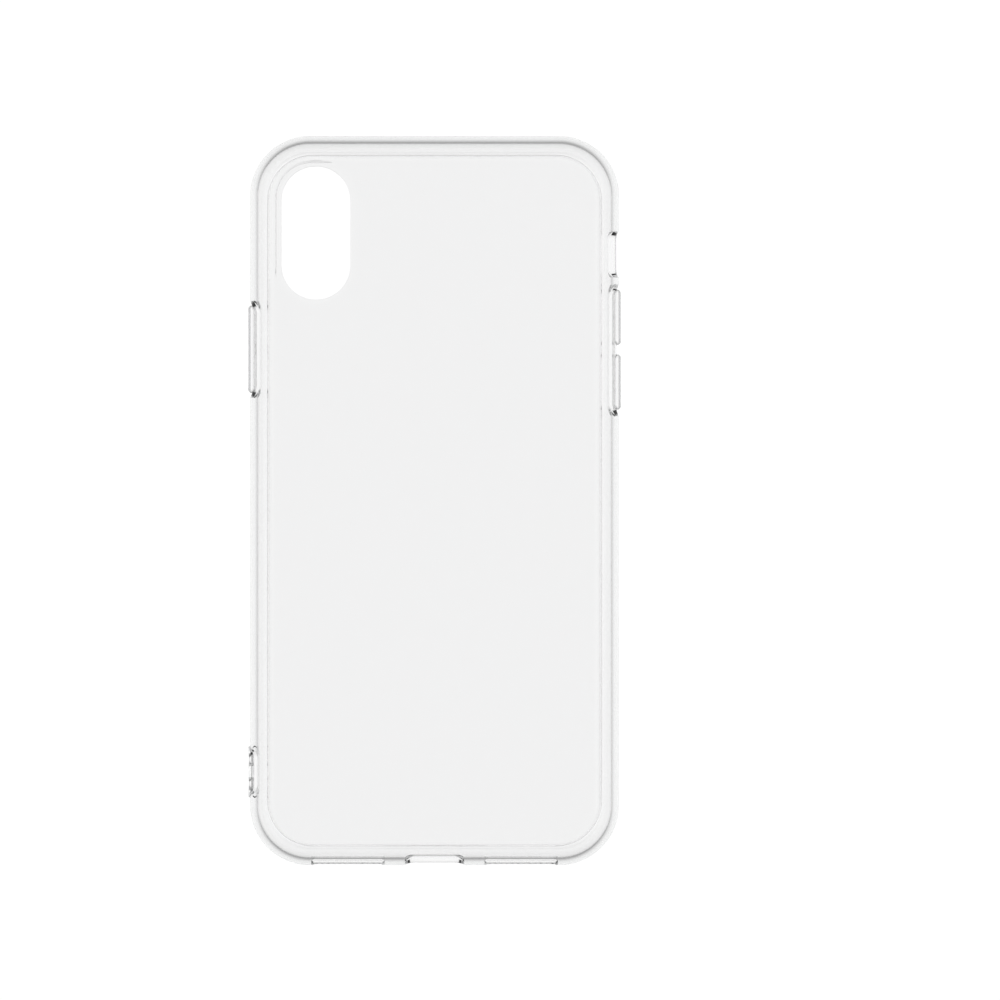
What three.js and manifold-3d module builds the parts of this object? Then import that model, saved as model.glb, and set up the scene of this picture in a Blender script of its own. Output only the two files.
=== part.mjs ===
// Clear slip-on phone case: a flexible moulded bumper round a hard clear back
// panel, with three push pads that travel in thin moulded webs.
//
// Millimetres, +Z up. The case lies face down: the front lip stands on z = 0
// and the back panel's outer face is at z = CASE_THICKNESS.
//   +Y  top end of the case (camera end)
//   -X  power pad and lanyard loop side
//   +X  mute opening and volume pad side
// The origin is the middle of the lip plane.

import * as THREE from 'three';
import { mergeVertices } from 'three/addons/utils/BufferGeometryUtils.js';
import Module from 'manifold-3d';

const wasm = await Module();
wasm.setup();

// ---------------------------------------------------------------- dimensions
const CASE_WIDTH = 74.4;            // X, over the walls
const CASE_LENGTH = 147.0;          // Y
const CASE_THICKNESS = 10.6;        // Z, lip plane to outer back face
const CORNER_R = 12.1;              // corner radius of the outline
const WALL_R = 5.85;                // outer radius of the rounded side wall
const WALL = 1.5;                   // wall and back thickness
const CAVITY_R = WALL_R - WALL;     // inner radius of the rounded side wall
const ARC_Z = CASE_THICKNESS - WALL_R; // height of the side wall's arc centre

const MOUTH_WIDTH = 67.0;           // lip opening, and the seat of the panel
const MOUTH_LENGTH = 139.0;
const MOUTH_CORNER_R = 9.0;
const PANEL_GAP = 0.05;             // panel edge to bumper

const FEATURE_Z = 4.8;              // mid height of the side features

const CAMERA_X = -23.92;            // camera opening, a slot with round ends
const CAMERA_Y = 53.95;
const CAMERA_WIDTH = 13.85;         // below the widening
const CAMERA_LENGTH = 26.85;
const CAMERA_FLARE = 1.75;          // widening on each side at the outer face
const CAMERA_BEVEL = 0.3;           // depth over which it widens

const MUTE_Y = 49.6;                // mute switch opening
const MUTE_LENGTH = 9.0;
const MUTE_HEIGHT = 5.18;
const MUTE_CORNER_R = 1.6;
const MUTE_Z = 4.98;

const POCKET_HEIGHT = 5.15;         // height of both web pockets
const WEB_GAP = 0.05;
const WEB_RECESS = 0.4;             // web outer face below the wall
const WEB_THICKNESS = 0.65;
const VOLUME_POCKET_Y = 30.3;
const VOLUME_POCKET_LENGTH = 26.3;
const POWER_POCKET_Y = 30.5;
const POWER_POCKET_LENGTH = 19.3;

const PAD_HEIGHT = 3.0;             // across the case
const PAD_TOP_HEIGHT = 2.1;         // flat top
const PAD_PROUD = 0.35;             // beyond the wall
const PAD_BEVEL = 0.45;             // depth of the sloping shoulder
const PAD_DEPTH = 1.6;              // top to inner face
const PAD_GAP = 0.05;               // pad to web
const VOLUME_PAD_LENGTH = 11.1;
const VOLUME_UP_Y = 36.95;
const VOLUME_DOWN_Y = 23.9;
const POWER_PAD_LENGTH = 17.6;
const POWER_PAD_Y = 30.5;
const DIMPLE_R = 1.16;              // finger dimple in the power pad
const DIMPLE_DEPTH = 0.22;

const LANYARD_Y = -54.65;           // raised lanyard boss
const LANYARD_LENGTH = 10.6;
const LANYARD_HEIGHT = 5.5;
const LANYARD_PROUD = 0.35;
const LANYARD_Z = 4.9;
const LANYARD_POCKET = 0.6;         // depth of the strap pocket inside
const LANYARD_HOLE_R = 1.25;
const LANYARD_HOLE_PITCH = 4.9;

const PORT_WIDTH = 11.6;            // charging port opening
const PORT_HEIGHT = 4.6;
const PORT_CORNER_R = 2.0;

const SPEAKER_HOLE_R = 0.85;        // two rows of six round holes
const SPEAKER_PITCH = 2.28;
const SPEAKER_COUNT = 6;
const SPEAKER_X = 17.45;            // middle of each row
const SPEAKER_FIELD_LENGTH = 13.9;
const SPEAKER_LAND = 0.22;          // flat land cut in the outer wall
const SPEAKER_POCKET = 0.55;        // relief cut in the inner wall
const SPEAKER_POCKET_HEIGHT = 3.4;

const CORNER_SEGMENTS = 6;          // half the number of facets of a corner
const WALL_SEGMENTS = 9;            // facets of a quarter of the side wall

// ------------------------------------------------------------------- helpers
function solid(geometry) {
  geometry.deleteAttribute('normal');
  geometry.deleteAttribute('uv');
  const merged = mergeVertices(geometry, 1e-4);
  const source = merged.index.array;
  const triVerts = [];
  for (let i = 0; i < source.length; i += 3) {
    const [a, b, c] = [source[i], source[i + 1], source[i + 2]];
    if (a !== b && b !== c && c !== a) triVerts.push(a, b, c);
  }
  return new wasm.Manifold(new wasm.Mesh({
    numProp: 3,
    vertProperties: new Float32Array(merged.attributes.position.array),
    triVerts: new Uint32Array(triVerts),
  }));
}

function meshOf(name, body, material) {
  const out = body.getMesh();
  const geometry = new THREE.BufferGeometry();
  geometry.setAttribute('position', new THREE.BufferAttribute(new Float32Array(out.vertProperties), 3));
  geometry.setIndex(new THREE.BufferAttribute(new Uint32Array(out.triVerts), 1));
  geometry.computeVertexNormals();
  const mesh = new THREE.Mesh(geometry, material);
  mesh.name = name;
  return mesh;
}

// A rectangle with rounded corners, centred on the origin.
function roundedRect(width, height, radius) {
  const x = width / 2;
  const y = height / 2;
  const shape = new THREE.Shape();
  shape.moveTo(x, -y + radius);
  shape.lineTo(x, y - radius);
  shape.absarc(x - radius, y - radius, radius, 0, Math.PI / 2, false);
  shape.lineTo(-x + radius, y);
  shape.absarc(-x + radius, y - radius, radius, Math.PI / 2, Math.PI, false);
  shape.lineTo(-x, -y + radius);
  shape.absarc(-x + radius, -y + radius, radius, Math.PI, 1.5 * Math.PI, false);
  shape.lineTo(x - radius, -y);
  shape.absarc(x - radius, -y + radius, radius, 1.5 * Math.PI, 2 * Math.PI, false);
  return shape;
}

// A slot with round ends, long along the first axis, centred on the origin.
function slot(length, width) {
  const r = width / 2;
  const x = length / 2 - r;
  const shape = new THREE.Shape();
  shape.moveTo(-x, -r);
  shape.lineTo(x, -r);
  shape.absarc(x, 0, r, -Math.PI / 2, Math.PI / 2, false);
  shape.lineTo(-x, r);
  shape.absarc(-x, 0, r, Math.PI / 2, 1.5 * Math.PI, false);
  return shape;
}

function circle(radius) {
  const shape = new THREE.Shape();
  shape.absarc(0, 0, radius, 0, 2 * Math.PI, false);
  return shape;
}

function prism(shape, depth, curveSegments) {
  return new THREE.ExtrudeGeometry(shape, { depth, bevelEnabled: false, curveSegments });
}

// Turns a prism drawn in (first, second) and extruded along the third axis so
// that it lies in (Y, Z) and runs along +X.
const ALONG_X = new THREE.Matrix4().makeBasis(
  new THREE.Vector3(0, 1, 0), new THREE.Vector3(0, 0, 1), new THREE.Vector3(1, 0, 0));
// Likewise for (Z, X) and +Y.
const ALONG_Y = new THREE.Matrix4().makeBasis(
  new THREE.Vector3(0, 0, 1), new THREE.Vector3(1, 0, 0), new THREE.Vector3(0, 1, 0));

// Prism along X between two X values.
function prismX(shape, x0, x1, y, z, curveSegments = 5) {
  return solid(prism(shape, x1 - x0, curveSegments).applyMatrix4(ALONG_X).translate(x0, y, z));
}

// Prism along Y between two Y values. The shape's first axis is Z.
function prismY(shape, y0, y1, x, z, curveSegments = 5) {
  return solid(prism(shape, y1 - y0, curveSegments).applyMatrix4(ALONG_Y).translate(x, y0, z));
}

// The full rounded body whose side wall is a half circle of the given radius.
// Every radius shares one core outline, so the walls stay concentric.
function pill(radius) {
  const core = roundedRect(CASE_WIDTH - 2 * WALL_R, CASE_LENGTH - 2 * WALL_R, CORNER_R - WALL_R);
  return solid(new THREE.ExtrudeGeometry(core, {
    depth: 0,
    bevelEnabled: true,
    bevelThickness: radius,
    bevelSize: radius,
    bevelSegments: WALL_SEGMENTS,
    curveSegments: CORNER_SEGMENTS,
  }).translate(0, 0, ARC_Z));
}

function block(x0, x1, y0, y1, z0, z1) {
  return solid(new THREE.BoxGeometry(x1 - x0, y1 - y0, z1 - z0)
    .translate((x0 + x1) / 2, (y0 + y1) / 2, (z0 + z1) / 2));
}

// ----------------------------------------------------------------- materials
const flexible = new THREE.MeshStandardMaterial({ color: 0xe9ebec, roughness: 0.12, metalness: 0, transparent: true, opacity: 0.45 });
const hard = new THREE.MeshStandardMaterial({ color: 0xf2f3f4, roughness: 0.05, metalness: 0, transparent: true, opacity: 0.3 });

// --------------------------------------------------------------------- shell
const HALF_X = CASE_WIDTH / 2;
const HALF_Y = CASE_LENGTH / 2;
const outer = pill(WALL_R);
const cavity = pill(CAVITY_R);
const shell = outer.subtract(cavity);
const aboveLip = block(-60, 60, -90, 90, 0, 20);

// -------------------------------------------------------------- bumper frame
let bumper = shell.intersect(aboveLip).subtract(
  solid(prism(roundedRect(MOUTH_WIDTH, MOUTH_LENGTH, MOUTH_CORNER_R), 30, CORNER_SEGMENTS).translate(0, 0, -10)));

// Lanyard boss: raised on the wall, with a strap pocket inside and two holes.
const boss = prismX(slot(LANYARD_LENGTH, LANYARD_HEIGHT), -45, -30, LANYARD_Y, LANYARD_Z)
  .intersect(pill(WALL_R + LANYARD_PROUD))
  .subtract(pill(CAVITY_R + LANYARD_POCKET));
bumper = bumper.add(boss)
  .subtract(prismX(slot(LANYARD_LENGTH - 1.4, LANYARD_HEIGHT - 1.4), -45, -30, LANYARD_Y, LANYARD_Z)
    .intersect(pill(CAVITY_R + LANYARD_POCKET)));
for (const side of [-1, 1]) {
  bumper = bumper.subtract(prismX(circle(LANYARD_HOLE_R), -45, -30,
    LANYARD_Y + side * LANYARD_HOLE_PITCH / 2, LANYARD_Z, 10));
}

// Side openings.
bumper = bumper
  .subtract(prismX(roundedRect(MUTE_LENGTH, MUTE_HEIGHT, MUTE_CORNER_R), 30, 45, MUTE_Y, MUTE_Z, 4))
  .subtract(prismX(slot(VOLUME_POCKET_LENGTH, POCKET_HEIGHT), 30, 45, VOLUME_POCKET_Y, FEATURE_Z))
  .subtract(prismX(slot(POWER_POCKET_LENGTH, POCKET_HEIGHT), -45, -30, POWER_POCKET_Y, FEATURE_Z));

// Bottom wall: port opening and two rows of speaker holes.
bumper = bumper.subtract(prismY(roundedRect(PORT_HEIGHT, PORT_WIDTH, PORT_CORNER_R), -80, -65, 0, FEATURE_Z, 4));
for (const side of [-1, 1]) {
  const x = side * SPEAKER_X;
  const half = SPEAKER_FIELD_LENGTH / 2;
  bumper = bumper
    .subtract(block(x - half, x + half, -80, -HALF_Y + SPEAKER_LAND, -1, CASE_THICKNESS))
    .subtract(block(x - half, x + half, -HALF_Y + WALL - SPEAKER_POCKET, -65,
      FEATURE_Z - SPEAKER_POCKET_HEIGHT / 2, FEATURE_Z + SPEAKER_POCKET_HEIGHT / 2));
  for (let i = 0; i < SPEAKER_COUNT; i += 1) {
    bumper = bumper.subtract(prismY(circle(SPEAKER_HOLE_R), -80, -65,
      x + (i - (SPEAKER_COUNT - 1) / 2) * SPEAKER_PITCH, FEATURE_Z, 7));
  }
}

// ---------------------------------------------------------------- back panel
// Tapered camera cutter: the shape of the opening below its wide bevel, growing
// to the outer face.
const flareGeometry = new THREE.ExtrudeGeometry(
  slot(CAMERA_LENGTH, CAMERA_WIDTH).clone(), {
    depth: 0, bevelEnabled: true, bevelThickness: CAMERA_BEVEL, bevelSize: CAMERA_FLARE, bevelSegments: 1, curveSegments: 9,
  });
// The bevelled body is widest at its middle plane, so its lower half is the
// funnel that opens upwards.
const funnel = solid(flareGeometry.rotateZ(Math.PI / 2)
  .translate(CAMERA_X, CAMERA_Y, CASE_THICKNESS))
  .intersect(block(-60, 60, 0, 90, 0, CASE_THICKNESS));
const throat = solid(prism(slot(CAMERA_LENGTH, CAMERA_WIDTH), 12, 9).rotateZ(Math.PI / 2)
  .translate(CAMERA_X, CAMERA_Y, 3));

const panel = shell
  .intersect(solid(prism(
    roundedRect(MOUTH_WIDTH - 2 * PANEL_GAP, MOUTH_LENGTH - 2 * PANEL_GAP, MOUTH_CORNER_R - PANEL_GAP),
    10, CORNER_SEGMENTS).translate(0, 0, ARC_Z)))
  .subtract(throat)
  .subtract(funnel);

// ---------------------------------------------------------------------- webs
const webShell = pill(WALL_R - WEB_RECESS).subtract(pill(WALL_R - WEB_RECESS - WEB_THICKNESS));
const padHole = (length) => slot(length + 2 * PAD_GAP, PAD_HEIGHT + 2 * PAD_GAP);
const volumeWeb = webShell
  .intersect(prismX(slot(VOLUME_POCKET_LENGTH - 2 * WEB_GAP, POCKET_HEIGHT - 2 * WEB_GAP), 30, 45, VOLUME_POCKET_Y, FEATURE_Z))
  .subtract(prismX(padHole(VOLUME_PAD_LENGTH), 30, 45, VOLUME_UP_Y, FEATURE_Z))
  .subtract(prismX(padHole(VOLUME_PAD_LENGTH), 30, 45, VOLUME_DOWN_Y, FEATURE_Z));
const powerWeb = webShell
  .intersect(prismX(slot(POWER_POCKET_LENGTH - 2 * WEB_GAP, POCKET_HEIGHT - 2 * WEB_GAP), -45, -30, POWER_POCKET_Y, FEATURE_Z))
  .subtract(prismX(padHole(POWER_PAD_LENGTH), -45, -30, POWER_PAD_Y, FEATURE_Z));

// ---------------------------------------------------------------------- pads
// A pad is drawn with its top at x = 0, facing +X, and is then put in place.
function pad(length) {
  const slope = (PAD_HEIGHT - PAD_TOP_HEIGHT) / 2;
  const body = new THREE.ExtrudeGeometry(slot(length - 2 * slope, PAD_TOP_HEIGHT), {
    depth: 4, bevelEnabled: true, bevelThickness: PAD_BEVEL, bevelSize: slope, bevelSegments: 2, curveSegments: 5,
  });
  return solid(body.applyMatrix4(ALONG_X).translate(-4 - PAD_BEVEL, 0, 0))
    .intersect(block(-PAD_DEPTH, 1, -20, 20, -5, 5));
}

const volumePad = pad(VOLUME_PAD_LENGTH);
const dimpleSphereR = (DIMPLE_R ** 2 + DIMPLE_DEPTH ** 2) / (2 * DIMPLE_DEPTH);
const powerPad = pad(POWER_PAD_LENGTH).subtract(solid(
  new THREE.SphereGeometry(dimpleSphereR, 48, 24).translate(dimpleSphereR - DIMPLE_DEPTH, 0, 0)));

// ------------------------------------------------------------------ assembly
const group = new THREE.Group();
group.add(meshOf('bumper_frame', bumper, flexible));
group.add(meshOf('back_panel', panel, hard));
group.add(meshOf('power_button_web', powerWeb, flexible));
group.add(meshOf('volume_button_web', volumeWeb, flexible));

const powerButton = meshOf('power_button', powerPad, flexible);
powerButton.position.set(-HALF_X - PAD_PROUD, POWER_PAD_Y, FEATURE_Z);
powerButton.rotation.z = Math.PI;
group.add(powerButton);

const volumeUp = meshOf('volume_up_button', volumePad, flexible);
volumeUp.position.set(HALF_X + PAD_PROUD, VOLUME_UP_Y, FEATURE_Z);
group.add(volumeUp);

const volumeDown = meshOf('volume_down_button', volumePad, flexible);
volumeDown.position.set(HALF_X + PAD_PROUD, VOLUME_DOWN_Y, FEATURE_Z);
group.add(volumeDown);

export default group;
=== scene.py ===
# Looks of a clear slip-on phone case, built round the imported frame.
# The case lies face down on a thin clear sheet over a glowing floor, whose emission is a painted pool of light, and
# is seen square-on from above, so its back panel fills the view. All shapes below are in millimetres
# in the frame's own axes and become metres when a mesh is made.
import math

import bpy
import numpy as np
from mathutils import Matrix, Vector
from mathutils.geometry import delaunay_2d_cdt


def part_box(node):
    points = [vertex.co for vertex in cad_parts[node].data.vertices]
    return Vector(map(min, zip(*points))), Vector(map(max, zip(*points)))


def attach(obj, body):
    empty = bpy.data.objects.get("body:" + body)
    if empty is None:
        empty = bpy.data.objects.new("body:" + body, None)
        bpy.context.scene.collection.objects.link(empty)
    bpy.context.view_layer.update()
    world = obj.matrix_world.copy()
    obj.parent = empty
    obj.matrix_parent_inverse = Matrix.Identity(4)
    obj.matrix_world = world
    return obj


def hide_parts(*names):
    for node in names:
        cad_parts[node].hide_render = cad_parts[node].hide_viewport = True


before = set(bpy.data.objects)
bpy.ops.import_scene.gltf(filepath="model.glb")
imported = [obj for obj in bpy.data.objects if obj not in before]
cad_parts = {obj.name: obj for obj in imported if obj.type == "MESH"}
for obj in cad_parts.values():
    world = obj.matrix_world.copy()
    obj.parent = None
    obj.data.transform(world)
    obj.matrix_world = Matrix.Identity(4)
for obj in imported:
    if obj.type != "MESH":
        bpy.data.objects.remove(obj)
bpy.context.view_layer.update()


def box_mm(node):
    lo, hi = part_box(node)
    return np.array(lo) * 1000.0, np.array(hi) * 1000.0


# ------------------------------------------------------------ main dimensions
b_lo, b_hi = box_mm("bumper_frame")
p_lo, p_hi = box_mm("back_panel")
HALF_X = 37.2
HALF_Y = float(b_hi[1])
TOP = float(p_hi[2])
R_OUT = 5.85
WALL = 1.5
R_IN = R_OUT - WALL
CORNER = 12.1
ZC = TOP - R_OUT
CX, CY, RC = HALF_X - R_OUT, HALF_Y - R_OUT, CORNER - R_OUT
FEATURE_Z = 4.8
RIM_W, RIM_H, RIM_R = 67.0, 139.0, 9.0
WINDOW = 3.25                     # half height of the feature windows


# ------------------------------------------------------------------- outlines
class Outline:
    """A rounded rectangle in (u, v); a slot or circle when r is half a side."""

    def __init__(self, cu, cv, w, h, r):
        self.cu, self.cv, self.w, self.h, self.r = cu, cv, w, h, min(r, w / 2, h / 2)

    def sd(self, u, v):
        qx = np.abs(u - self.cu) - (self.w / 2 - self.r)
        qy = np.abs(v - self.cv) - (self.h / 2 - self.r)
        return (np.hypot(np.maximum(qx, 0), np.maximum(qy, 0))
                + np.minimum(np.maximum(qx, qy), 0) - self.r)

    def loop(self, off=0.0, na=8, step=0.6):
        ax, ay = self.w / 2 - self.r, self.h / 2 - self.r
        r = max(self.r + off, 0.01)
        nx = max(1, math.ceil(2 * ax / step)) if ax > 1e-6 else 0
        ny = max(1, math.ceil(2 * ay / step)) if ay > 1e-6 else 0
        corners = [(ax, -ay, -90), (ax, ay, 0), (-ax, ay, 90), (-ax, -ay, 180)]
        pts = []
        for k, (cx, cy, a0) in enumerate(corners):
            for i in range(na):
                a = math.radians(a0 + 90.0 * i / na)
                pts.append((cx + r * math.cos(a), cy + r * math.sin(a)))
            a = math.radians(a0 + 90.0)
            end = (cx + r * math.cos(a), cy + r * math.sin(a))
            nxt = corners[(k + 1) % 4]
            b = math.radians(nxt[2])
            start = (nxt[0] + r * math.cos(b), nxt[1] + r * math.sin(b))
            n = ny if k in (0, 2) else nx
            for j in range(n):
                t = j / n
                pts.append((end[0] * (1 - t) + start[0] * t, end[1] * (1 - t) + start[1] * t))
        return np.array(pts) + (self.cu, self.cv)


def slot(cu, cv, length, width):
    return Outline(cu, cv, length, width, width / 2)


def circle(cu, cv, r):
    return Outline(cu, cv, 2 * r, 2 * r, r)


def smooth(t):
    t = np.clip(t, 0.0, 1.0)
    return t * t * (3 - 2 * t)


def soft_min(a, b, k):
    h = np.clip(0.5 + 0.5 * (b - a) / k, 0.0, 1.0)
    return b * (1 - h) + a * h - k * h * (1 - h)


def edge_round(d, rho):
    """How far a rounded edge has fallen, d inside the edge."""
    q = np.clip(rho - d, 0.0, rho)
    return rho - np.sqrt(np.maximum(rho * rho - q * q, 0.0))


def edge_offsets(rho, n=4):
    return [rho * (1 - math.cos(math.radians(90.0 * i / n))) for i in range(n + 1)]


# --------------------------------------------------------------- mesh builder
class Builder:
    """Gathers vertices with their normals, and faces, and welds them."""

    def __init__(self):
        self.co, self.no, self.faces, self.count = [], [], [], 0

    def add(self, co, no, faces):
        self.co.append(np.asarray(co, float))
        self.no.append(np.asarray(no, float))
        self.faces.extend([tuple(int(i) + self.count for i in f) for f in faces])
        self.count += len(co)

    def welded(self):
        co, no = np.concatenate(self.co), np.concatenate(self.no)
        key = np.round((co + 0.0000217) / 0.0002).astype(np.int64)
        _, first, inverse = np.unique(key, axis=0, return_index=True, return_inverse=True)
        inverse = inverse.reshape(-1)
        normals = np.zeros((len(first), 3))
        np.add.at(normals, inverse, no)
        length = np.linalg.norm(normals, axis=1, keepdims=True)
        normals /= np.maximum(length, 1e-9)
        faces = []
        for f in self.faces:
            g = [int(inverse[i]) for i in f]
            g = [g[i] for i in range(len(g)) if g[i] != g[i - 1]]
            if len(g) > 2 and len(set(g)) == len(g):
                faces.append(g)
        return co[first], normals, faces

    def mesh(self, name):
        co, no, faces = self.welded()
        me = bpy.data.meshes.new(name)
        me.from_pydata((co * 0.001).tolist(), [], faces)
        me.polygons.foreach_set("use_smooth", [True] * len(me.polygons))
        me.update()
        me.normals_split_custom_set_from_vertices(no.tolist())
        me.update()
        ob = bpy.data.objects.new(name, me)
        bpy.context.scene.collection.objects.link(ob)
        return ob


# Wall frames: (u along the wall, v up, h out from the core line), right-handed.
def frame_px(u, v, h):
    return np.stack([CX + h, u, v], axis=-1)


def frame_nx(u, v, h):
    return np.stack([-CX - h, -u, v], axis=-1)


def frame_ny(u, v, h):
    return np.stack([u, -CY - h, v], axis=-1)


def frame_z(u, v, h):
    return np.stack([u, v, h], axis=-1)


def place_dir(place, du, dv, dh):
    zero = np.zeros_like(du)
    return place(du, dv, dh) - place(zero, zero, zero)


def in_polygon(poly, u, v):
    inside = np.zeros(len(u), bool)
    x0, y0 = poly[:, 0], poly[:, 1]
    x1, y1 = np.roll(x0, -1), np.roll(y0, -1)
    for a, b, c, d in zip(x0, y0, x1, y1):
        if b == d:
            continue
        hit = (b > v) != (d > v)
        inside ^= hit & (u < (c - a) * (v - b) / (d - b) + a)
    return inside


def triangulate(border, holes, rings, free):
    """Triangles of the region inside border and outside holes, holding every loop's edges."""
    loops = [border, *holes, *rings]
    pts, edges = [], []
    for loop in loops:
        base, n = len(pts), len(loop)
        pts.extend((float(p[0]), float(p[1])) for p in loop)
        edges.extend((base + i, base + (i + 1) % n) for i in range(n))
    pts.extend((float(p[0]), float(p[1])) for p in free)
    flat = np.array(pts)
    vs, _, fs, origin, _, _ = delaunay_2d_cdt([Vector(p) for p in pts], edges, [], 0, 1e-6, True)
    co = np.array([flat[o[0]] if len(o) else (v[0], v[1]) for v, o in zip(vs, origin)])
    tri = np.array([list(f) for f in fs])
    a, b, c = (co[tri[:, i]] for i in range(3))
    area = (b[:, 0] - a[:, 0]) * (c[:, 1] - a[:, 1]) - (b[:, 1] - a[:, 1]) * (c[:, 0] - a[:, 0])
    tri[area < 0] = tri[area < 0][:, ::-1]
    tri = tri[np.abs(area) > 1e-9]
    mid = co[tri].mean(axis=1)
    keep = in_polygon(border, mid[:, 0], mid[:, 1])
    for h in holes:
        keep &= ~in_polygon(h, mid[:, 0], mid[:, 1])
    return co, tri[keep]


def gradient(f, u, v, e=2e-4):
    return (f(u + e, v) - f(u - e, v)) / (2 * e), (f(u, v + e) - f(u, v - e)) / (2 * e)


def sheet(builder, place, height, border, holes, rings, free, up):
    """A surface h = height(u, v) over the region. up is +1 if its outside faces +h."""
    co, tri = triangulate(border, holes, rings, free)
    u, v = co[:, 0], co[:, 1]
    gu, gv = gradient(height, u, v)
    n = np.stack([-gu, -gv, np.ones_like(gu)], axis=1)
    n /= np.linalg.norm(n, axis=1, keepdims=True)
    n *= up
    builder.add(place(u, v, height(u, v)), place_dir(place, n[:, 0], n[:, 1], n[:, 2]),
                tri if up > 0 else tri[:, ::-1])


def ring_wall(builder, place, loop, top, bottom, outside, cuts=1):
    """The wall under a loop, between two height functions. outside is True where the solid is inside the loop."""
    u, v = loop[:, 0], loop[:, 1]
    n = len(loop)
    ht, hb = top(u, v), bottom(u, v)
    tangent = np.roll(loop, -1, axis=0) - np.roll(loop, 1, axis=0)
    tangent /= np.linalg.norm(tangent, axis=1, keepdims=True)
    side = np.stack([tangent[:, 1], -tangent[:, 0]], axis=1) * (1 if outside else -1)
    zero = np.zeros(n)
    nrm = place_dir(place, side[:, 0], side[:, 1], zero)
    # rows close to both ends keep the wall's flat shading clear of the edges
    at = [0.0, 0.02, *[k / cuts for k in range(1, cuts)], 0.98, 1.0]
    cuts = len(at) - 1
    co = [place(u, v, ht + (hb - ht) * t) for t in at]
    faces = []
    for k in range(cuts):
        for i in range(n):
            j = (i + 1) % n
            a, b, c, d = k * n + i, k * n + j, (k + 1) * n + j, (k + 1) * n + i
            faces.append((a, d, c, b) if outside else (a, b, c, d))
    builder.add(np.concatenate(co), np.tile(nrm, (cuts + 1, 1)), faces)


def grid_points(us, vs, clear):
    """Grid points that keep clear of each (outline, low, high) band of signed distance."""
    u, v = (a.ravel() for a in np.meshgrid(us, vs, indexing="ij"))
    ok = np.ones(len(u), bool)
    for outline, low, high in clear:
        d = outline.sd(u, v)
        ok &= (d < low) | (d > high)
    return np.stack([u[ok], v[ok]], axis=1)


# --------------------------------------------------------------- bumper: sweep
def rim_distance(c, n):
    """How far out from a core point the lip opening's outline lies."""
    rim = Outline(0, 0, RIM_W, RIM_H, RIM_R)
    lo, hi = 1.0, 3.4
    for _ in range(50):
        m = (lo + hi) / 2
        if float(rim.sd(c[0] + n[0] * m, c[1] + n[1] * m)) < 0:
            lo = m
        else:
            hi = m
    return (lo + hi) / 2


def arc(radius, a0, a1, n, inward):
    a = np.linspace(a0, a1, n + 1)
    p = np.stack([radius * np.cos(a), ZC + radius * np.sin(a)], axis=1)
    q = np.stack([np.cos(a), np.sin(a)], axis=1)
    return p, -q if inward else q


def rounded(p0, corner, p2, n=5):
    t = np.linspace(0, 1, n + 1)[:, None]
    p = (1 - t) ** 2 * p0 + 2 * t * (1 - t) * corner + t ** 2 * p2
    d = 2 * (1 - t) * (corner - p0) + 2 * t * (p2 - corner)
    d /= np.linalg.norm(d, axis=1, keepdims=True)
    return p, np.stack([d[:, 1], -d[:, 0]], axis=1)


OUT_WINDOW = math.asin(WINDOW / R_OUT)
IN_WINDOW = math.asin(WINDOW / R_IN)
N_OUT, N_IN = 24, 28


def profile(ds):
    """The wall's closed section at a station whose lip opening lies ds out from the core line."""
    t_lip = -math.asin(ZC / R_OUT)
    t_seam = math.acos(ds / R_OUT)
    i_seam = math.acos(ds / R_IN)
    e_lip, e_seam, e_in, e_edge = 0.30, 0.05, 0.04, 0.06
    parts = []

    def put(pn, drop_first=True):
        p, n = pn
        parts.append((p[1:], n[1:]) if drop_first and parts else (p, n))

    a_lip, a_seam = t_lip + e_lip / R_OUT, t_seam - e_seam / R_OUT
    put(arc(R_OUT, a_lip, -OUT_WINDOW, 7, False))
    w0 = len(parts[0][0]) - 1
    put(arc(R_OUT, -OUT_WINDOW, OUT_WINDOW, N_OUT, False))
    w1 = w0 + N_OUT
    put(arc(R_OUT, OUT_WINDOW, a_seam, 13, False))
    corner = np.array([ds, ZC + R_OUT * math.sin(t_seam)])
    put(rounded(parts[-1][0][-1], corner, corner + (0, -e_seam)))
    low = np.array([ds, ZC + R_IN * math.sin(i_seam)])
    b_seam = i_seam - e_in / R_IN
    start = parts[-1][0][-1]
    end = low + (0, e_in)
    t = np.linspace(0, 1, 4)[:, None]
    put((start * (1 - t) + end * t, np.tile([-1.0, 0.0], (4, 1))))
    pa, na = arc(R_IN, b_seam, IN_WINDOW, 5, True)
    put(rounded(end, low, pa[0]))
    put((pa, na))
    count = sum(len(p) for p, _ in parts)
    v0 = count - 1
    put(arc(R_IN, IN_WINDOW, -IN_WINDOW, N_IN, True))
    v1 = v0 + N_IN
    b_lip = -i_seam + e_in / R_IN
    put(arc(R_IN, -IN_WINDOW, b_lip, 5, True))
    foot = np.array([ds, ZC - R_IN * math.sin(i_seam)])
    put(rounded(parts[-1][0][-1], foot, foot + (0, -e_in)))
    base = np.array([ds, 0.0])
    start, end = parts[-1][0][-1], base + (0, e_edge)
    t = np.linspace(0, 1, 3)[:, None]
    put((start * (1 - t) + end * t, np.tile([-1.0, 0.0], (3, 1))))
    put(rounded(end, base, base + (e_edge, 0)))
    toe = np.array([R_OUT * math.cos(t_lip), 0.0])
    start, end = parts[-1][0][-1], toe + (-e_lip, 0)
    t = np.linspace(0, 1, 4)[:, None]
    put((start * (1 - t) + end * t, np.tile([0.0, -1.0], (4, 1))))
    first = parts[0][0][0]
    p, n = rounded(end, toe, first)
    parts.append((p[1:-1], n[1:-1]))
    return np.concatenate([p for p, _ in parts]), np.concatenate([n for _, n in parts]), (w0, w1), (v0, v1)


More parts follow.
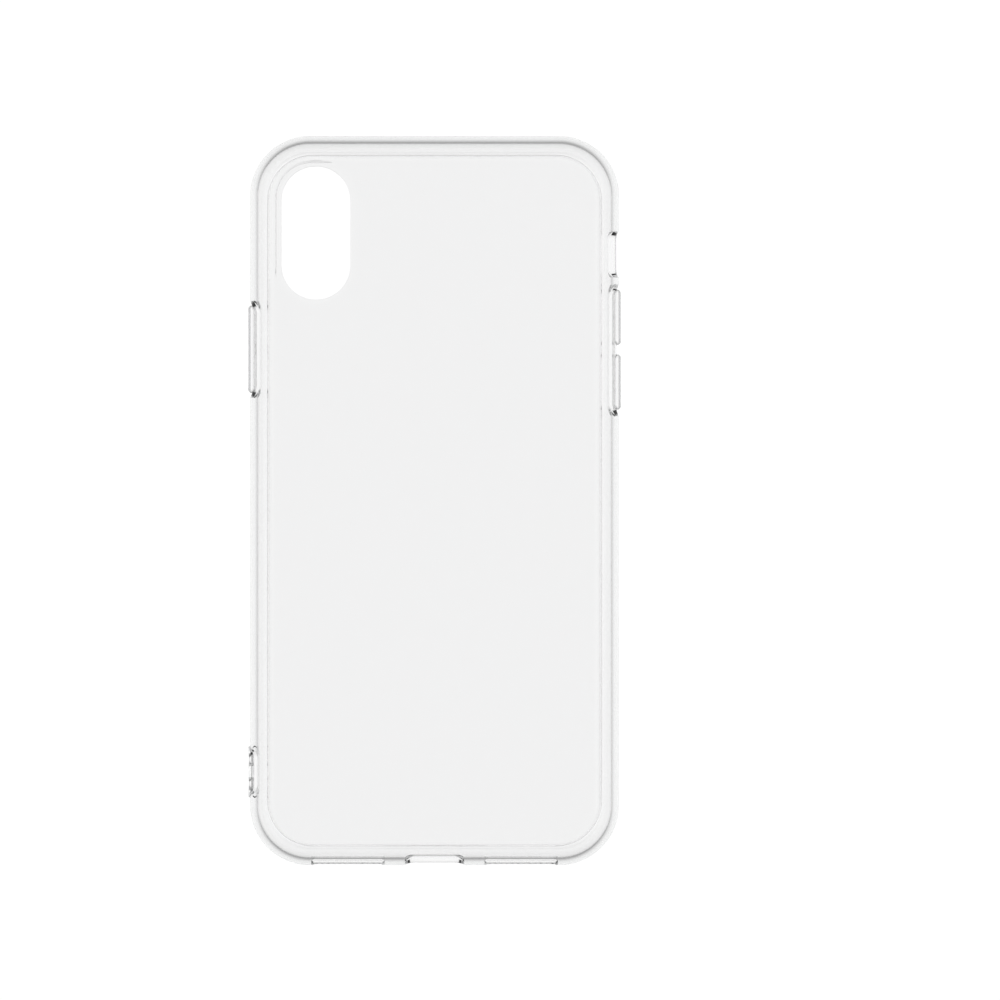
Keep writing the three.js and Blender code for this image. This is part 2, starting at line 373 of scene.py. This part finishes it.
def spans(limits, dense, step=0.6, coarse=3.0):
    """Station positions between two limits, close together inside the dense spans."""
    marks, at = [], limits[0]
    for a, b in [*dense, (limits[1], limits[1])]:
        if a - at > 1e-9:
            marks += list(np.linspace(at, a, max(1, math.ceil((a - at) / coarse)) + 1)[:-1])
        if b - a > 1e-9:
            marks += list(np.linspace(a, b, max(1, round((b - a) / step)) + 1)[:-1])
        at = b
    return np.array(marks + [limits[1]])


EX, EY = CX - RC, CY - RC          # half lengths of the straight stretches
PX_DENSE = [(15.6, 56.4)]
NX_DENSE = [(-42.0, -19.2), (48.2, 61.3)]     # u = -y on the -X wall
NY_DENSE = [(-25.0, 25.0)]
u_px = spans((-EY, EY), PX_DENSE)
u_top = spans((-EX, EX), [])
u_nx = spans((-EY, EY), NX_DENSE)
u_ny = spans((-EX, EX), NY_DENSE)

stations = []                       # (core point, outward direction, wall, u)


def corner_stations(cx, cy, a0, n=32):
    for i in range(1, n):
        a = math.radians(a0 + 90.0 * i / n)
        d = (math.cos(a), math.sin(a))
        stations.append(((cx + RC * d[0], cy + RC * d[1]), d, None, None))


for y in u_px:
    stations.append(((CX, y), (1, 0), "px", y))
corner_stations(EX, EY, 0)
for x in u_top[::-1]:
    stations.append(((x, CY), (0, 1), "py", x))
corner_stations(-EX, EY, 90)
for u in u_nx:
    stations.append(((-CX, -u), (-1, 0), "nx", u))
corner_stations(-EX, -EY, 180)
for x in u_ny:
    stations.append(((x, -CY), (0, -1), "ny", x))
corner_stations(EX, -EY, 270)

bumper_mesh = Builder()
rows, row_normals = [], []
for c, n, wall, u in stations:
    p, q, out_rows, in_rows = profile(rim_distance(c, n))
    rows.append(np.stack([c[0] + p[:, 0] * n[0], c[1] + p[:, 0] * n[1], p[:, 1]], axis=1))
    row_normals.append(np.stack([q[:, 0] * n[0], q[:, 0] * n[1], q[:, 1]], axis=1))
M, S = len(rows[0]), len(rows)
DENSE = {"px": PX_DENSE, "nx": NX_DENSE, "ny": NY_DENSE, "py": []}


def in_dense(i, j):
    wi, wj = stations[i][2], stations[j][2]
    if wi is None or wi != wj:
        return False
    mid = (stations[i][3] + stations[j][3]) / 2
    return any(a < mid < b for a, b in DENSE[wi])


faces = []
for i in range(S):
    j = (i + 1) % S
    skip = in_dense(i, j)
    for k in range(M):
        if skip and (out_rows[0] <= k < out_rows[1] or in_rows[0] <= k < in_rows[1]):
            continue
        l = (k + 1) % M
        faces.append((i * M + k, j * M + k, j * M + l, i * M + l))
bumper_mesh.add(np.concatenate(rows), np.concatenate(row_normals), faces)


# ------------------------------------------------------ bumper: feature windows
def arc_height(radius):
    return lambda u, v: np.sqrt(radius * radius - (v - ZC) ** 2)


out_z = ZC + R_OUT * np.sin(np.linspace(-OUT_WINDOW, OUT_WINDOW, N_OUT + 1))
in_z = ZC + R_IN * np.sin(np.linspace(-IN_WINDOW, IN_WINDOW, N_IN + 1))


def window(place, us, out_h, in_h, holes, marks_out, marks_in):
    """One window's outer and inner skins and the walls of its holes.
    holes: (outline, outer edge radius, inner edge radius, facets, step).
    marks: (outline, offsets) rings that hold a step's shape."""
    def out_all(u, v):
        h = out_h(u, v)
        for o, ro, ri, na, st in holes:
            h = h - edge_round(o.sd(u, v), ro)
        return h

    def in_all(u, v):
        h = in_h(u, v)
        for o, ro, ri, na, st in holes:
            h = h + edge_round(o.sd(u, v), ri)
        return h

    for height, zs, up, marks, which in ((out_all, out_z, 1, marks_out, 1), (in_all, in_z, -1, marks_in, 2)):
        lower = [(u, zs[0]) for u in us]
        right = [(us[-1], z) for z in zs[1:]]
        upper = [(u, zs[-1]) for u in us[::-1][1:]]
        left = [(us[0], z) for z in zs[::-1][1:-1]]
        border = np.array(lower + right + upper + left)
        loops = [h[0].loop(0.0, h[3], h[4]) for h in holes]
        rings, clear = [], []
        for h in holes:
            rho = h[which]
            rings += [h[0].loop(d, h[3], h[4]) for d in edge_offsets(rho)[1:]]
            rings.append(h[0].loop(rho + 0.14, h[3], h[4]))
            clear.append((h[0], -99, rho + 0.3))
        for o, offsets, na, st in marks:
            rings += [o.loop(d, na, st) for d in offsets]
            clear.append((o, min(offsets) - 0.16, max(offsets) + 0.16))
        free = grid_points(us[1:-1], zs[1:-1], clear)
        sheet(bumper_mesh, place, height, border, loops, rings, free, up)
    for h in holes:
        ring_wall(bumper_mesh, place, h[0].loop(0.0, h[3], h[4]), out_all, in_all, False, 2)


def dense_us(us, span):
    return us[(us > span[0] - 1e-6) & (us < span[1] + 1e-6)]


mute = Outline(49.6, 4.98, 9.0, 5.18, 1.6)
volume_pocket = slot(30.3, FEATURE_Z, 26.3, 5.15)
window(frame_px, dense_us(u_px, PX_DENSE[0]), arc_height(R_OUT), arc_height(R_IN),
       [(mute, 0.24, 0.20, 10, 0.5), (volume_pocket, 0.26, 0.18, 14, 0.6)], [], [])

power_pocket = slot(-30.5, FEATURE_Z, 19.3, 5.15)
window(frame_nx, dense_us(u_nx, NX_DENSE[0]), arc_height(R_OUT), arc_height(R_IN),
       [(power_pocket, 0.26, 0.18, 14, 0.6)], [], [])

boss = slot(54.65, 4.9, 10.6, 5.5)
strap_pocket = slot(54.65, 4.9, 9.2, 4.1)


def boss_out(u, v):
    low, high = arc_height(R_OUT)(u, v), arc_height(R_OUT + 0.35)(u, v)
    return low + (high - low) * smooth(-boss.sd(u, v) / 0.34)


def boss_in(u, v):
    low, high = arc_height(R_IN)(u, v), arc_height(R_IN + 0.6)(u, v)
    return low + (high - low) * smooth(-strap_pocket.sd(u, v) / 0.4)


window(frame_nx, dense_us(u_nx, NX_DENSE[1]), boss_out, boss_in,
       [(circle(54.65 - 2.45, 4.9, 1.25), 0.2, 0.12, 8, 0.5), (circle(54.65 + 2.45, 4.9, 1.25), 0.2, 0.12, 8, 0.5)],
       [(boss, [-0.34, -0.26, -0.17, -0.08, 0.0, 0.12], 12, 0.5)],
       [(strap_pocket, [-0.4, -0.3, -0.2, -0.1, 0.0, 0.12], 12, 0.5)])

port = Outline(0.0, FEATURE_Z, 11.6, 4.6, 2.0)
LAND, RELIEF = 0.22, 0.55
lands = [Outline(s * 17.45, ZC, 13.9, 2 * math.sqrt(R_OUT ** 2 - (R_OUT - LAND) ** 2), 0.25) for s in (-1, 1)]
reliefs = [Outline(s * 17.45, FEATURE_Z, 14.9, 3.5, 0.7) for s in (-1, 1)]


def bottom_out(u, v):
    h = arc_height(R_OUT)(u, v)
    for s in (-1, 1):
        rise = np.clip((np.abs(u - s * 17.45) - 6.95 + 0.15) / 0.3, 0, 1)
        h = soft_min(h, R_OUT - LAND + 0.3 * rise, 0.03)
    return h


def bottom_in(u, v):
    h = arc_height(R_IN)(u, v)
    for o in reliefs:
        h = h + (R_IN + RELIEF - h) * smooth(-o.sd(u, v) / 0.45)
    return h


speakers = [circle(s * 17.45 + (i - 2.5) * 2.28, FEATURE_Z, 0.85) for s in (-1, 1) for i in range(6)]
window(frame_ny, dense_us(u_ny, NY_DENSE[0]), bottom_out, bottom_in,
       [(port, 0.34, 0.22, 10, 0.5), *[(o, 0.14, 0.10, 6, 0.5) for o in speakers]],
       [(o, [-0.1, 0.0, 0.1], 4, 0.5) for o in lands],
       [(o, [-0.45, -0.34, -0.22, -0.1, 0.0], 6, 0.5) for o in reliefs])

bumper = bumper_mesh.mesh("bumper")


# ------------------------------------------------------------------ back panel
SEAM, RIM_ROUND = 0.03, 0.05
core = Outline(0, 0, 2 * CX, 2 * CY, RC)
rim = Outline(0, 0, RIM_W - 2 * SEAM, RIM_H - 2 * SEAM, RIM_R - SEAM)
camera = Outline(-23.92, 53.95, 13.85, 26.85, 6.925)
FLARE, FLARE_DEPTH = 1.75, 0.3


def panel_top(u, v):
    d = np.maximum(core.sd(u, v), 0.0)
    z = ZC + np.sqrt(R_OUT ** 2 - np.minimum(d, 5.0) ** 2) - edge_round(-rim.sd(u, v), RIM_ROUND)
    c = camera.sd(u, v)
    cone = TOP + (np.maximum(c, 0) / FLARE - 1) * FLARE_DEPTH
    return soft_min(z, cone, 0.02) - edge_round(c, 0.10)


def panel_bottom(u, v):
    d = np.maximum(core.sd(u, v), 0.0)
    z = ZC + np.sqrt(R_IN ** 2 - np.minimum(d, 4.2) ** 2)
    return z + edge_round(-rim.sd(u, v), RIM_ROUND) + edge_round(camera.sd(u, v), 0.06)


panel_mesh = Builder()
rim_loop = rim.loop(0.0, 24, 1.0)
camera_loop = camera.loop(0.0, 24, 0.8)
rim_rings = [rim.loop(-d, 24, 1.0) for d in (*edge_offsets(RIM_ROUND, 3)[1:], 0.14)]
core_rings = [core.loop(d, 24, 1.0) for d in (-1.2, -0.5, 0.0, 0.3, 0.6, 0.9, 1.2, 1.45)]
mid_us, mid_vs = np.linspace(-29.0, 29.0, 30), np.linspace(-65.0, 65.0, 66)


def open_ring(points, clear):
    """Ring points kept only where they stay clear of each band of signed distance."""
    ok = np.ones(len(points), bool)
    for outline, low, high in clear:
        d = outline.sd(points[:, 0], points[:, 1])
        ok &= (d < low) | (d > high)
    return points[ok]


near_flare, near_hole = (camera, -99, FLARE + 0.45), (camera, -99, 0.3)
top_free = np.concatenate([
    grid_points(mid_us, mid_vs, [near_flare, (core, -0.6, 99)]),
    *[open_ring(r, [near_flare]) for r in core_rings],
    *[open_ring(camera.loop(d, 24, 0.8), [(rim, -0.2, 99)]) for d in (FLARE + 0.08, FLARE + 0.2, FLARE + 0.38)],
])
flare_rings = [camera.loop(d, 24, 0.8) for d in (0.01, 0.04, 0.10, 0.25, 0.5, 0.75, 1.0, 1.2, 1.4, 1.52, 1.62, 1.7, 1.76)]
sheet(panel_mesh, frame_z, panel_top, rim_loop, [camera_loop], rim_rings + flare_rings, top_free, 1)
bottom_free = np.concatenate([
    grid_points(mid_us, mid_vs, [near_hole, (core, -0.6, 99)]),
    *[open_ring(r, [near_hole]) for r in core_rings],
])
hole_rings = [camera.loop(d, 24, 0.8) for d in (0.02, 0.06)]
sheet(panel_mesh, frame_z, panel_bottom, rim_loop, [camera_loop], rim_rings + hole_rings, bottom_free, -1)
ring_wall(panel_mesh, frame_z, rim_loop, panel_top, panel_bottom, True, 2)
ring_wall(panel_mesh, frame_z, camera_loop, panel_top, panel_bottom, False, 1)
panel = panel_mesh.mesh("back_shell")


# ------------------------------------------------------------------------ webs
def make_web(name, place, outline, pads):
    m = Builder()
    r_top, r_low = R_OUT - 0.4, R_OUT - 1.05

    def top(u, v):
        h = arc_height(r_top)(u, v) - edge_round(-outline.sd(u, v), 0.05)
        for p in pads:
            h = h - edge_round(p.sd(u, v), 0.05)
        return h

    def low(u, v):
        return arc_height(r_low)(u, v)

    border = outline.loop(0.0, 14, 0.6)
    holes = [p.loop(0.0, 12, 0.6) for p in pads]
    us = np.arange(outline.cu - outline.w / 2 + 0.5, outline.cu + outline.w / 2 - 0.4, 0.6)
    vs = np.linspace(outline.cv - outline.h / 2 + 0.4, outline.cv + outline.h / 2 - 0.4, 9)
    clear = [(outline, -0.35, 99)] + [(p, -99, 0.35) for p in pads]
    free = grid_points(us, vs, clear)
    for f, up in ((top, 1), (low, -1)):
        rings = [outline.loop(-d, 14, 0.6) for d in (0.015, 0.05, 0.2)]
        rings += [p.loop(d, 12, 0.6) for p in pads for d in (0.015, 0.05, 0.2)]
        sheet(m, place, f, border, holes, rings, free, up)
    ring_wall(m, place, border, top, low, True, 2)
    for h in holes:
        ring_wall(m, place, h, top, low, False, 2)
    return m.mesh(name)


def pad_outline(node, side):
    lo, hi = box_mm(node)
    mid, size = (lo + hi) / 2, hi - lo
    return slot(side * mid[1], mid[2], size[1], size[2]), (hi[0] if side > 0 else -lo[0]) - CX


power_pad, power_top = pad_outline("power_button", -1)
up_pad, up_top = pad_outline("volume_up_button", 1)
down_pad, down_top = pad_outline("volume_down_button", 1)
grow = lambda o, g: Outline(o.cu, o.cv, o.w + 2 * g, o.h + 2 * g, o.r + g)
power_web = make_web("power_web", frame_nx, grow(power_pocket, -0.04), [grow(power_pad, 0.04)])
volume_web = make_web("volume_web", frame_px, grow(volume_pocket, -0.04), [grow(up_pad, 0.04), grow(down_pad, 0.04)])


# ------------------------------------------------------------------------ pads
def make_pad(name, place, outline, top_h, dimple_r, dimple_depth, depth=1.6, bevel=0.45):
    m = Builder()
    ball = (dimple_r ** 2 + dimple_depth ** 2) / (2 * dimple_depth)

    def top(u, v):
        d = np.maximum(-outline.sd(u, v), 0.0)
        h = soft_min(np.full_like(d, top_h), top_h - bevel + d, 0.10)
        r = np.hypot(u - outline.cu, v - outline.cv)
        hollow = top_h - dimple_depth + ball - np.sqrt(np.maximum(ball ** 2 - np.minimum(r, 0.9 * ball) ** 2, 0))
        return soft_min(h, np.where(r < 1.6 * dimple_r, hollow, 99.0), 0.03)

    def low(u, v):
        return top_h - depth + edge_round(-outline.sd(u, v), 0.12)

    border = outline.loop(0.0, 14, 0.5)
    us = np.arange(outline.cu - outline.w / 2 + 0.3, outline.cu + outline.w / 2 - 0.2, 0.4)
    vs = np.linspace(outline.cv - 0.75, outline.cv + 0.75, 6)
    disc = circle(outline.cu, outline.cv, dimple_r)
    free = grid_points(us, vs, [(outline, -0.72, 99), (disc, -99, 0.16 * 1.6)])
    marks = [disc.loop(-dimple_r * (1 - t), 8, 1) for t in (0.2, 0.4, 0.6, 0.8, 0.9, 1.0, 1.08, 1.2)]
    rings = [outline.loop(-d, 14, 0.5) for d in (0.12, 0.25, 0.36, 0.42, 0.48, 0.56)]
    inside = [p[outline.sd(p[:, 0], p[:, 1]) < -0.62] for p in marks]
    sheet(m, place, top, border, [], rings, np.concatenate([free, *inside]), 1)
    rings = [outline.loop(-d, 14, 0.5) for d in edge_offsets(0.12, 3)[1:]]
    sheet(m, place, low, border, [], rings, grid_points(us, vs, [(outline, -0.5, 99)]), -1)
    ring_wall(m, place, border, top, low, True, 2)
    return m.mesh(name)


power_button = make_pad("power_pad", frame_nx, power_pad, power_top, 1.16, 0.22)
volume_up = make_pad("volume_up_pad", frame_px, up_pad, up_top, 0.34, 0.07)
volume_down = make_pad("volume_down_pad", frame_px, down_pad, down_top, 0.34, 0.07)


# ------------------------------------------------------------------- materials
def clear_plastic(name, tint, ior, depth, rough, rough_spread, wave, wave_scale, fine):
    """Clear moulded plastic: faint flow waves and a little uneven polish."""
    mat = bpy.data.materials.new(name)
    mat.use_nodes = True
    nt = mat.node_tree
    nt.nodes.clear()
    out = nt.nodes.new("ShaderNodeOutputMaterial")
    bsdf = nt.nodes.new("ShaderNodeBsdfPrincipled")
    bsdf.inputs["Base Color"].default_value = (*tint, 1.0)
    bsdf.inputs["Transmission Weight"].default_value = 1.0
    bsdf.inputs["IOR"].default_value = ior
    nt.links.new(bsdf.outputs["BSDF"], out.inputs["Surface"])
    thick = nt.nodes.new("ShaderNodeVolumeAbsorption")
    thick.inputs["Color"].default_value = (0.0, 0.02, 0.04, 1.0)
    thick.inputs["Density"].default_value = depth
    nt.links.new(thick.outputs["Volume"], out.inputs["Volume"])
    coord = nt.nodes.new("ShaderNodeTexCoord")
    cloud = nt.nodes.new("ShaderNodeTexNoise")
    cloud.inputs["Scale"].default_value = 90.0
    cloud.inputs["Detail"].default_value = 3.0
    nt.links.new(coord.outputs["Object"], cloud.inputs["Vector"])
    spread = nt.nodes.new("ShaderNodeMapRange")
    spread.inputs["From Min"].default_value = 0.3
    spread.inputs["From Max"].default_value = 0.7
    spread.inputs["To Min"].default_value = rough
    spread.inputs["To Max"].default_value = rough + rough_spread
    nt.links.new(cloud.outputs["Fac"], spread.inputs["Value"])
    nt.links.new(spread.outputs["Result"], bsdf.inputs["Roughness"])
    flow = nt.nodes.new("ShaderNodeTexNoise")
    flow.inputs["Scale"].default_value = wave_scale
    flow.inputs["Detail"].default_value = 2.0
    nt.links.new(coord.outputs["Object"], flow.inputs["Vector"])
    bump = nt.nodes.new("ShaderNodeBump")
    bump.inputs["Strength"].default_value = wave
    bump.inputs["Distance"].default_value = fine
    nt.links.new(flow.outputs["Fac"], bump.inputs["Height"])
    nt.links.new(bump.outputs["Normal"], bsdf.inputs["Normal"])
    return mat


flexible = clear_plastic("clear_flexible_plastic", (0.978, 0.978, 0.978), 1.47, 20.0, 0.0, 0.02, 0.03, 60.0, 0.0001)
hard = clear_plastic("clear_hard_plastic", (0.935, 0.935, 0.935), 1.52, 40.0, 0.0, 0.01, 0.02, 25.0, 0.0001)

for ob, mat, body, nodes, slot_name in (
    (bumper, flexible, "case_shell", ("bumper_frame",), "flexible_clear"),
    (panel, hard, "case_shell", ("back_panel",), "hard_clear"),
    (power_web, flexible, "case_shell", ("power_button_web",), "flexible_clear"),
    (volume_web, flexible, "case_shell", ("volume_button_web",), "flexible_clear"),
    (power_button, flexible, "power_pad", ("power_button",), "flexible_clear"),
    (volume_up, flexible, "volume_up_pad", ("volume_up_button",), "flexible_clear"),
    (volume_down, flexible, "volume_down_pad", ("volume_down_button",), "flexible_clear"),
):
    ob.data.materials.append(mat)
    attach(ob, body)
    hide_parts(*nodes)


# ----------------------------------------------------------------------- stage
# The shadowless set-up used for clear goods: the case lies on a thin clear
# sheet above a white floor that glows. The floor's glow is painted light: a painted pool of light that falls off
# past the ends, then a painted glow that rises again far out, over a near-black own colour. The studio round it is
# soft and bright above and greyer towards the horizon.
FLOOR_DROP = 0.34


def node(tree, kind, **values):
    n = tree.nodes.new(kind)
    for k, v in values.items():
        n.inputs[k].default_value = v
    return n


def math_node(tree, op, a, b=None):
    n = tree.nodes.new("ShaderNodeMath")
    n.operation = op
    for i, x in enumerate((a, b)):
        if x is None:
            continue
        if isinstance(x, (int, float)):
            n.inputs[i].default_value = x
        else:
            tree.links.new(x, n.inputs[i])
    return n.outputs[0]


def plane(name, size, z, mat):
    me = bpy.data.meshes.new(name)
    me.from_pydata([(-size, -size, 0), (size, -size, 0), (size, size, 0), (-size, size, 0)], [], [(0, 1, 2, 3)])
    ob = bpy.data.objects.new(name, me)
    bpy.context.scene.collection.objects.link(ob)
    ob.location.z = z
    me.materials.append(mat)
    return ob


floor_mat = bpy.data.materials.new("glowing_floor_painted_light")
floor_mat.use_nodes = True
ft = floor_mat.node_tree
fb = ft.nodes["Principled BSDF"]
fb.inputs["Base Color"].default_value = (0.05, 0.05, 0.05, 1)
fb.inputs["Roughness"].default_value = 1.0
fb.inputs["Specular IOR Level"].default_value = 0.0
# The floor looks white only through its emission, which is painted light: the floor glows though it is no lamp.
fb.inputs["Emission Color"].default_value = (1, 1, 1, 1)
place_on_floor = ft.nodes.new("ShaderNodeSeparateXYZ")
ft.links.new(ft.nodes.new("ShaderNodeTexCoord").outputs["Object"], place_on_floor.inputs[0])
fx, fy = math_node(ft, "MULTIPLY", place_on_floor.outputs[0], 0.62), place_on_floor.outputs[1]
reach = math_node(ft, "SQRT", math_node(ft, "ADD", math_node(ft, "MULTIPLY", fx, fx), math_node(ft, "MULTIPLY", fy, fy)))
# Painted pool of light: full glow near the case, fading past the ends; a painted glow rises again further out.
painted_light_pool = node(ft, "ShaderNodeMapRange", **{"From Min": 0.125, "From Max": 0.54, "To Min": 1.0, "To Max": 0.33})
painted_light_pool.interpolation_type = "SMOOTHSTEP"
ft.links.new(reach, painted_light_pool.inputs["Value"])
painted_far_glow = node(ft, "ShaderNodeMapRange", **{"From Min": 0.6, "From Max": 1.05, "To Min": 0.0, "To Max": 0.27})
painted_far_glow.interpolation_type = "SMOOTHSTEP"
ft.links.new(reach, painted_far_glow.inputs["Value"])
ft.links.new(math_node(ft, "ADD", painted_light_pool.outputs["Result"], painted_far_glow.outputs["Result"]), fb.inputs["Emission Strength"])
floor = plane("studio_floor", 4.0, -FLOOR_DROP, floor_mat)

sheet_mat = bpy.data.materials.new("clear_sheet")
sheet_mat.use_nodes = True
gt = sheet_mat.node_tree
gt.nodes.clear()
g_out = gt.nodes.new("ShaderNodeOutputMaterial")
g_mix = gt.nodes.new("ShaderNodeMixShader")
g_clear = node(gt, "ShaderNodeBsdfTransparent", Color=(1, 1, 1, 1))
g_gloss = node(gt, "ShaderNodeBsdfGlossy", Color=(1, 1, 1, 1), Roughness=0.08)
g_fresnel = node(gt, "ShaderNodeFresnel", IOR=1.3)
g_place = gt.nodes.new("ShaderNodeVectorMath")
g_place.operation = "LENGTH"
gt.links.new(gt.nodes.new("ShaderNodeTexCoord").outputs["Object"], g_place.inputs[0])
g_fade = node(gt, "ShaderNodeMapRange", **{"From Min": 0.17, "From Max": 0.4, "To Min": 1.0, "To Max": 0.0})
g_fade.interpolation_type = "SMOOTHSTEP"
gt.links.new(g_place.outputs["Value"], g_fade.inputs["Value"])
gt.links.new(math_node(gt, "MULTIPLY", g_fresnel.outputs[0], g_fade.outputs["Result"]), g_mix.inputs[0])
gt.links.new(g_clear.outputs[0], g_mix.inputs[1])
gt.links.new(g_gloss.outputs[0], g_mix.inputs[2])
gt.links.new(g_mix.outputs[0], g_out.inputs["Surface"])
clear_sheet = plane("clear_table_sheet", 4.0, -0.00003, sheet_mat)

world = bpy.data.worlds.new("studio")
bpy.context.scene.world = world
world.use_nodes = True
wt = world.node_tree
bg = wt.nodes["Background"]


def wramp(value, stops):
    n = wt.nodes.new("ShaderNodeValToRGB")
    n.color_ramp.interpolation = "EASE"
    els = n.color_ramp.elements
    while len(els) < len(stops):
        els.new(0.5)
    for e, (at, level) in zip(els, stops):
        e.position = at
        e.color = (level, level, level, 1)
    wt.links.new(value, n.inputs["Fac"])
    return n.outputs["Color"]


split = wt.nodes.new("ShaderNodeSeparateXYZ")
wt.links.new(wt.nodes.new("ShaderNodeTexCoord").outputs["Generated"], split.inputs[0])
dx, dy, dz = split.outputs
side_level = wramp(dz, [(0.0, 0.64), (0.18, 0.75), (0.45, 1.0), (0.85, 1.0), (0.97, 0.6)])
end_level = wramp(dz, [(0.0, 0.6), (0.25, 0.5), (0.6, 0.8), (0.85, 1.0), (0.97, 0.6)])
horizontal = math_node(wt, "MAXIMUM", math_node(wt, "SUBTRACT", 1.0, math_node(wt, "MULTIPLY", dz, dz)), 0.0001)
endness = math_node(wt, "DIVIDE", math_node(wt, "MULTIPLY", dy, dy), horizontal)
mix = wt.nodes.new("ShaderNodeMix")
mix.data_type = "RGBA"
wt.links.new(endness, mix.inputs[0])
wt.links.new(side_level, mix.inputs[6])
wt.links.new(end_level, mix.inputs[7])
wt.links.new(mix.outputs[2], bg.inputs["Color"])
bg.inputs["Strength"].default_value = 1.0

# Light crosses many clear walls here, so its paths are let run deep.
cycles = bpy.context.scene.cycles
cycles.max_bounces = 36
cycles.transmission_bounces = 36
cycles.glossy_bounces = 16
cycles.transparent_max_bounces = 16

view_settings = bpy.context.scene.view_settings
view_settings.view_transform = "Standard"
view_settings.look = "None"

camera_data = bpy.data.cameras.new("camera")
camera_data.type = "ORTHO"
camera_data.ortho_scale = 0.2016
camera_data.clip_start = 0.01
camera_data.clip_end = 10
camera_object = bpy.data.objects.new("camera", camera_data)
bpy.context.scene.collection.objects.link(camera_object)
camera_object.location = (0.0132, 0.00012, 0.5)
bpy.context.scene.camera = camera_object
